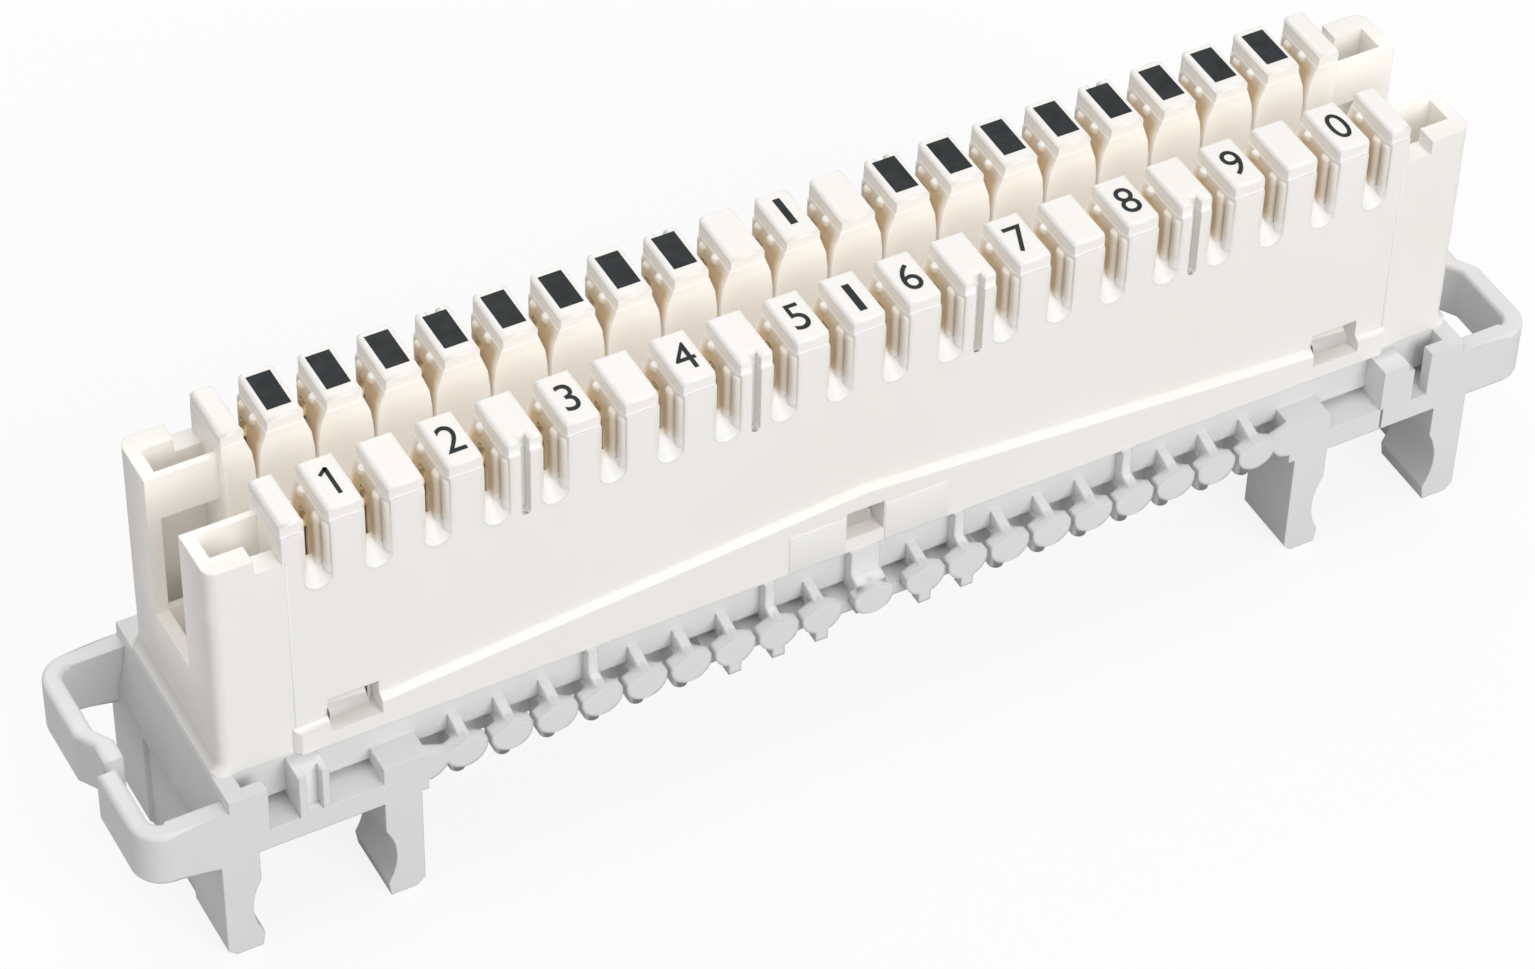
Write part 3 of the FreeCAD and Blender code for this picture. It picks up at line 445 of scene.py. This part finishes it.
def roundedCopy(nodeName, name, material):
    piece = bpy.data.objects.new(name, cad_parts[nodeName].data.copy())
    bpy.context.scene.collection.objects.link(piece)
    only(piece)
    bpy.ops.object.mode_set(mode="EDIT")
    mergeFlat()
    bpy.ops.object.mode_set(mode="OBJECT")
    if nodeName == "housing":
        narrowChannel(piece)
    bpy.ops.object.shade_smooth_by_angle(angle=math.radians(rounding["sharpFrom"]))
    mesh = bmesh.new()
    mesh.from_mesh(piece.data)
    if nodeName == "housing":
        reachOut(mesh)
    weight = mesh.edges.layers.float.new("bevel_weight_edge")
    for edge in mesh.edges:
        edge[weight] = roundWeight(edge)
    mesh.to_mesh(piece.data)
    mesh.free()
    edges = piece.modifiers.new("roundEdges", "BEVEL")
    edges.width = rounding["widest"]
    edges.segments = rounding["steps"]
    edges.limit_method = "WEIGHT"
    edges.use_clamp_overlap = False
    edges.miter_outer = "MITER_SHARP"
    bpy.ops.object.modifier_apply(modifier="roundEdges")
    even = piece.modifiers.new("evenNormals", "WEIGHTED_NORMAL")
    even.keep_sharp = True
    even.weight = rounding["normalWeight"]
    bpy.ops.object.modifier_apply(modifier="evenNormals")
    piece = finishPiece(piece, name, material)
    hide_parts(nodeName)
    return piece


housing = roundedCopy("housing", "whiteHousing", white)
base = roundedCopy("base", "greyBase", grey)
print("mouldings rounded", len(housing.data.polygons), len(base.data.polygons))

for nodeName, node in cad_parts.items():
    if nodeName.startswith("contact_"):
        node.data.materials.clear()
        node.data.materials.append(metal)


# Printing on the tooth tops

field = {
    "width": 1.97 * mm, "near": 3.44 * mm, "far": 7.3 * mm,
    "barWidth": 0.62 * mm, "barNear": 3.9 * mm, "barFar": 7.0 * mm,
    "thick": 0.02 * mm, "sunk": 1.5,
    "rear": [1, 2, 3, 4, 5, 6, 7, 8, 12, 13, 14, 15, 16, 17, 18, 19],
    "bars": [("front", 10), ("rear", 10)],
}
numerals = {
    "teeth": {1: "1", 3: "2", 5: "3", 7: "4", 9: "5", 11: "6", 13: "7", 15: "8", 17: "9", 19: "0"},
    "height": 2.9 * mm, "narrow": 0.86, "middle": -5.35 * mm, "depth": 0.01, "curveSteps": 6,
    "one": [  # place, size and turn of the stroke and its flag
        ((0.20 * mm, 0), (0.34 * mm, 2.9 * mm), 0),
        ((-0.10 * mm, 1.10 * mm), (0.30 * mm, 0.95 * mm), -48),
    ],
}


def printField(place, low, high, width):
    top = strip["toothTop"] + field["thick"]
    bpy.ops.mesh.primitive_plane_add(size=1, location=(place, (low + high) / 2, top))
    piece = bpy.context.active_object
    piece.scale = (width, high - low, 1)
    applyPlace()
    bpy.ops.object.mode_set(mode="EDIT")
    bpy.ops.mesh.select_all(action="SELECT")
    down = (0, 0, -field["thick"] * field["sunk"])
    bpy.ops.mesh.extrude_region_move(TRANSFORM_OT_translate={"value": down})
    bpy.ops.mesh.select_all(action="SELECT")
    bpy.ops.mesh.normals_make_consistent(inside=False)
    bpy.ops.object.mode_set(mode="OBJECT")
    return piece


def printOne(count):  # upright stroke with a short slanted flag
    strokes = []
    for (right, up), size, turn in numerals["one"]:
        place = (toothPlace(count) + right, numerals["middle"] + up, strip["toothTop"])
        bpy.ops.mesh.primitive_cube_add(size=1, location=place, rotation=(0, 0, math.radians(turn)))
        stroke = bpy.context.active_object
        stroke.scale = (*size, 2 * field["thick"])
        applyPlace()
        strokes.append(stroke)
    return joinAll(strokes)


def printNumeral(count, digit):
    if digit == "1":
        return printOne(count)
    bpy.ops.object.text_add(location=(0, 0, 0))
    piece = bpy.context.active_object
    piece.data.body = digit
    piece.data.align_x = "CENTER"
    piece.data.align_y = "CENTER"
    piece.data.size = 1
    piece.data.extrude = numerals["depth"]
    piece.data.resolution_u = numerals["curveSteps"]
    bpy.ops.object.convert(target="MESH")
    piece = bpy.context.active_object
    lows = [min(corner[axis] for corner in piece.bound_box) for axis in range(3)]
    highs = [max(corner[axis] for corner in piece.bound_box) for axis in range(3)]
    size = numerals["height"] / (highs[1] - lows[1])
    piece.scale = (size * numerals["narrow"], size, field["thick"] / (highs[2] - lows[2]) * field["sunk"])
    middle = [(low + high) / 2 for low, high in zip(lows, highs)]
    piece.location = (toothPlace(count) - middle[0] * piece.scale[0],
                      numerals["middle"] - middle[1] * piece.scale[1],
                      strip["toothTop"] + field["thick"] / 2)
    applyPlace()
    return piece


fields = [printField(toothPlace(count), field["near"], field["far"], field["width"])
          for count in field["rear"]]
for row, count in field["bars"]:
    ends = (field["barNear"], field["barFar"])
    low, high = ends if row == "rear" else (-ends[1], -ends[0])
    fields.append(printField(toothPlace(count), low, high, field["barWidth"]))
finishPiece(joinAll(fields), "printedFields", black)
digits = [printNumeral(count, digit) for count, digit in numerals["teeth"].items()]
finishPiece(joinAll(digits), "printedNumerals", black)
print("printing placed")


# Small round nubs that hold the wire, on both flanks of every slot

nub = {
    "radius": 0.52 * mm, "flat": 0.9, "around": 16, "rings": 10,
    "level": 39.1 * mm, "near": 3.85 * mm, "far": 4.6 * mm, "aside": 0.84 * mm,
}


def wireNubs():
    bpy.ops.mesh.primitive_uv_sphere_add(segments=nub["around"], ring_count=nub["rings"],
                                         radius=nub["radius"])
    first = bpy.context.active_object
    bpy.ops.object.shade_smooth()
    first.scale = (nub["flat"], 1, 1)
    bpy.ops.object.transform_apply(location=False, rotation=False, scale=True)
    nubs = []
    for count in range(1, strip["slots"] + 1):
        for row in (-1, 1):
            for flank in (-1, 1):
                copy = first.copy()
                copy.data = first.data.copy()
                across = nub["near"] if row * flank < 0 else nub["far"]
                copy.location = (slotPlace(count) + flank * nub["aside"], row * across, nub["level"])
                bpy.context.scene.collection.objects.link(copy)
                nubs.append(copy)
    bpy.data.objects.remove(first)
    return finishPiece(joinAll(nubs), "wireNubs", white)


wireNubs()
print("nubs placed")


# Wire slots: the round scoop at the foot and two round columns down each flank

scoop = {
    "face": 7.98 * mm, "inner": 6.05 * mm, "frontRound": 1.10 * mm, "backRound": 0.33 * mm,
    "frontLevel": 34.33 * mm, "rise": 1.0 * mm, "wall": 0.10 * mm, "sides": 40, "smooth": 50,
}
columns = {  # each place: aside, along, foot and top
    "places": [(0.84 * mm, 6.50 * mm, 34.4 * mm, 39.3 * mm), (1.20 * mm, 7.36 * mm, 34.0 * mm, 39.2 * mm)],
    "round": 0.50 * mm, "sides": 24, "tip": 0.26 * mm, "tipSteps": 3, "sharp": 60, "smooth": 50,
}


def makeScoop():  # the lower half of a funnel whose inner end is raised
    length = scoop["face"] - scoop["inner"]
    bpy.ops.mesh.primitive_cone_add(vertices=scoop["sides"], radius1=scoop["frontRound"], depth=length,
                                    radius2=scoop["backRound"], end_fill_type="NOTHING",
                                    rotation=(-math.pi / 2, 0, 0))
    piece = bpy.context.active_object
    bpy.ops.object.transform_apply(location=False, rotation=True, scale=False)
    pick(piece, "VERT", lambda vertex: vertex.co.z > rounding["near"])
    bpy.ops.mesh.delete(type="VERT")
    pick(piece, "VERT", lambda vertex: vertex.co.y > 0)
    bpy.ops.transform.translate(value=(0, 0, scoop["rise"]))
    bpy.ops.object.mode_set(mode="OBJECT")
    shell = piece.modifiers.new("wall", "SOLIDIFY")
    shell.thickness = scoop["wall"]
    shell.offset = 1
    bpy.ops.object.modifier_apply(modifier="wall")
    piece.location = (0, -(scoop["face"] + scoop["inner"]) / 2, scoop["frontLevel"])
    applyPlace()
    bpy.ops.object.shade_smooth_by_angle(angle=math.radians(scoop["smooth"]))
    return piece


def makeColumn(aside, along, low, high):
    bpy.ops.mesh.primitive_cylinder_add(vertices=columns["sides"], radius=columns["round"], depth=high - low,
                                        location=(aside, -along, (low + high) / 2))
    piece = bpy.context.active_object
    applyPlace()
    soften(piece, columns["tip"], columns["tipSteps"], columns["sharp"], columns["smooth"])
    return piece


def slotDetails():
    made = [makeScoop()]
    for flank in (-1, 1):
        for aside, along, low, high in columns["places"]:
            made.append(makeColumn(flank * aside, along, low, high))
    first = joinAll(made)
    copies = []
    for count in range(1, strip["slots"] + 1):
        for half in (0, 1):
            copy = first.copy()
            copy.data = first.data.copy()
            copy.location = (slotPlace(count), 0, 0)
            copy.rotation_euler = (0, 0, half * math.pi)
            bpy.context.scene.collection.objects.link(copy)
            copies.append(copy)
    bpy.data.objects.remove(first)
    for copy in copies:
        only(copy)
        applyPlace()
    return finishPiece(joinAll(copies), "slotScoops", white)


slotDetails()
print("slot details placed")


# Fine raised lines and plates left by the mould

seam = {
    "place": 48.12 * mm, "face": 8.0 * mm, "low": 19.6 * mm, "high": 37.0 * mm,
    "wide": 0.16 * mm, "proud": 0.03 * mm,
}
plates = {
    "left": (-6.7 * mm, -1.75 * mm), "right": (1.75 * mm, 7.4 * mm),
    "low": 17.1 * mm, "high": 21.0 * mm, "face": 8.6 * mm, "proud": 0.08 * mm,
}
bar = {"soft": 0.8, "steps": 2, "sharp": 30, "smooth": 50}
fairing = {  # levels: how far out the side stands, and how high
    "levels": [(55.82 * mm, 10.42 * mm), (55.78 * mm, 11.6 * mm), (55.25 * mm, 13.8 * mm),
               (54.98 * mm, 15.8 * mm), (54.93 * mm, 16.98 * mm)],
    "inner": 54.2 * mm, "half": 8.88 * mm, "round": 0.12 * mm, "steps": 3, "sharp": 35, "smooth": 60,
}


def raisedBar(left, right, low, high, face, proud):
    bpy.ops.mesh.primitive_cube_add(size=1, location=((left + right) / 2, -face, (low + high) / 2))
    piece = bpy.context.active_object
    piece.scale = (right - left, 2 * proud, high - low)
    applyPlace()
    soften(piece, proud * bar["soft"], bar["steps"], bar["sharp"], bar["smooth"])
    return piece


def bothWays(pieces):  # the same pieces again after half a turn about the upright axis
    turned = []
    for piece in pieces:
        copy = piece.copy()
        copy.data = piece.data.copy()
        copy.rotation_euler = (0, 0, math.pi)
        bpy.context.scene.collection.objects.link(copy)
        only(copy)
        applyPlace()
        turned.append(copy)
    return pieces + turned


def mouldLines():
    bars = []
    for side in (-1, 1):
        left = side * seam["place"] - seam["wide"] / 2
        bars.append(raisedBar(left, left + seam["wide"], seam["low"], seam["high"],
                              seam["face"], seam["proud"]))
    for side in ("left", "right"):
        bars.append(raisedBar(*plates[side], plates["low"], plates["high"], plates["face"], plates["proud"]))
    return finishPiece(joinAll(bothWays(bars)), "mouldLines", white)


def endFairing():  # a block drawn up level by level, its outer side brought in as it rises
    levels, inner, near = fairing["levels"], fairing["inner"], rounding["near"]
    (foot, low), (_, high) = levels[:2]
    bpy.ops.mesh.primitive_cube_add(size=1, location=((inner + foot) / 2, 0, (low + high) / 2))
    piece = bpy.context.active_object
    piece.scale = (foot - inner, 2 * fairing["half"], high - low)
    applyPlace()
    for (_, lower), (_, upper) in zip(levels[1:], levels[2:]):
        pick(piece, "FACE", lambda face: face.normal.z > 0.9 and face.center.z > lower - near)
        bpy.ops.mesh.extrude_region_move(TRANSFORM_OT_translate={"value": (0, 0, upper - lower)})
        bpy.ops.object.mode_set(mode="OBJECT")
    for out, level in levels[1:]:
        pick(piece, "VERT", lambda vertex: vertex.co.x > inner + near and abs(vertex.co.z - level) < near)
        bpy.ops.transform.translate(value=(out - foot, 0, 0))
        bpy.ops.object.mode_set(mode="OBJECT")
    soften(piece, fairing["round"], fairing["steps"], fairing["sharp"], fairing["smooth"])
    return finishPiece(joinAll(bothWays([piece])), "endFairings", grey)


mouldLines()
endFairing()
print("mould lines placed")


# Floor, light and camera

floorLook = {  # colour as the camera sees it and as it lights the strip from below
    "colour": (0.86, 0.86, 0.86), "bounce": (0.48, 0.48, 0.49), "white": 0.85, "size": 3.0,
}
lampSet = {
    "top": {"at": (-0.02, 0.02, 0.62), "aim": (0, 0, 0.02), "size": 0.45, "power": 0.65},
    "key": {"at": (0.14, -0.60, 0.34), "aim": (0, 0, 0.02), "size": 0.50, "power": 2.8},
    "rear": {"at": (0.05, 0.52, 0.42), "aim": (0, 0, 0.02), "size": 0.45, "power": 1.1},
    "fill": {"at": (-0.55, -0.10, 0.30), "aim": (0, 0, 0.02), "size": 0.40, "power": 0.25},
}
skyStrength = 0.52
eye = {
    "at": (-0.14617, -0.25184, 0.30367), "turn": -29.403, "dip": 44.620, "roll": 1.582,
    "lens": 121.43, "sensor": 36.0, "shiftX": 0.00219, "shiftY": -0.00132,
}


def makeFloor():
    bpy.ops.mesh.primitive_plane_add(size=floorLook["size"], location=(0, 0, 0))
    floor = bpy.context.active_object
    floor.name = "floor"
    material = bpy.data.materials.new("paleFloor")
    material.use_nodes = True
    tree = material.node_tree
    tree.nodes.clear()
    output = tree.nodes.new("ShaderNodeOutputMaterial")
    mix = tree.nodes.new("ShaderNodeMixShader")
    matte = tree.nodes.new("ShaderNodeBsdfDiffuse")
    glow = tree.nodes.new("ShaderNodeEmission")
    glow.inputs["Color"].default_value = (1, 1, 1, 1)
    path = tree.nodes.new("ShaderNodeLightPath")
    share = math2(tree, "MULTIPLY", path.outputs["Is Camera Ray"], floorLook["white"])
    seen = blend(tree, path.outputs["Is Camera Ray"], floorLook["bounce"], floorLook["colour"])
    tree.links.new(seen, matte.inputs["Color"])
    tree.links.new(share, mix.inputs["Fac"])
    tree.links.new(matte.outputs[0], mix.inputs[1])
    tree.links.new(glow.outputs[0], mix.inputs[2])
    tree.links.new(mix.outputs[0], output.inputs["Surface"])
    floor.data.materials.append(material)


def makeSky():
    world = bpy.data.worlds.new("paleSky")
    bpy.context.scene.world = world
    world.use_nodes = True
    tree = world.node_tree
    tree.nodes.clear()
    output = tree.nodes.new("ShaderNodeOutputWorld")
    mix = tree.nodes.new("ShaderNodeMixShader")
    seen = tree.nodes.new("ShaderNodeBackground")
    seen.inputs["Color"].default_value = (1, 1, 1, 1)
    seen.inputs["Strength"].default_value = 1.0
    lit = tree.nodes.new("ShaderNodeBackground")
    lit.inputs["Color"].default_value = (1, 1, 1, 1)
    lit.inputs["Strength"].default_value = skyStrength
    path = tree.nodes.new("ShaderNodeLightPath")
    direct = math2(tree, "MAXIMUM", path.outputs["Is Camera Ray"], path.outputs["Is Glossy Ray"])
    shown = math2(tree, "MAXIMUM", direct, path.outputs["Is Transmission Ray"])
    tree.links.new(shown, mix.inputs["Fac"])
    tree.links.new(lit.outputs[0], mix.inputs[1])
    tree.links.new(seen.outputs[0], mix.inputs[2])
    tree.links.new(mix.outputs[0], output.inputs["Surface"])


def makeLamp(name, look):
    data = bpy.data.lights.new(name, "AREA")
    data.shape = "DISK"
    data.size = look["size"]
    data.energy = look["power"]
    lamp = bpy.data.objects.new(name, data)
    lamp.location = look["at"]
    aim = Vector(look["aim"]) - Vector(look["at"])
    lamp.rotation_euler = aim.to_track_quat("-Z", "Y").to_euler()
    bpy.context.scene.collection.objects.link(lamp)


def makeCamera():
    data = bpy.data.cameras.new("eye")
    data.sensor_width = eye["sensor"]
    data.lens = eye["lens"]
    data.shift_x = eye["shiftX"]
    data.shift_y = eye["shiftY"]
    data.clip_start = 0.01
    camera = bpy.data.objects.new("eye", data)
    turned = Matrix.Rotation(math.radians(eye["turn"]), 4, "Z")
    dipped = Matrix.Rotation(math.radians(90 - eye["dip"]), 4, "X")
    rolled = Matrix.Rotation(math.radians(eye["roll"]), 4, "Z")
    camera.matrix_world = Matrix.Translation(eye["at"]) @ turned @ dipped @ rolled
    bpy.context.scene.collection.objects.link(camera)
    bpy.context.scene.camera = camera


makeFloor()
makeSky()
for lampName, look in lampSet.items():
    makeLamp(lampName, look)
makeCamera()
bpy.context.scene.view_settings.view_transform = "Standard"
print("stage set")
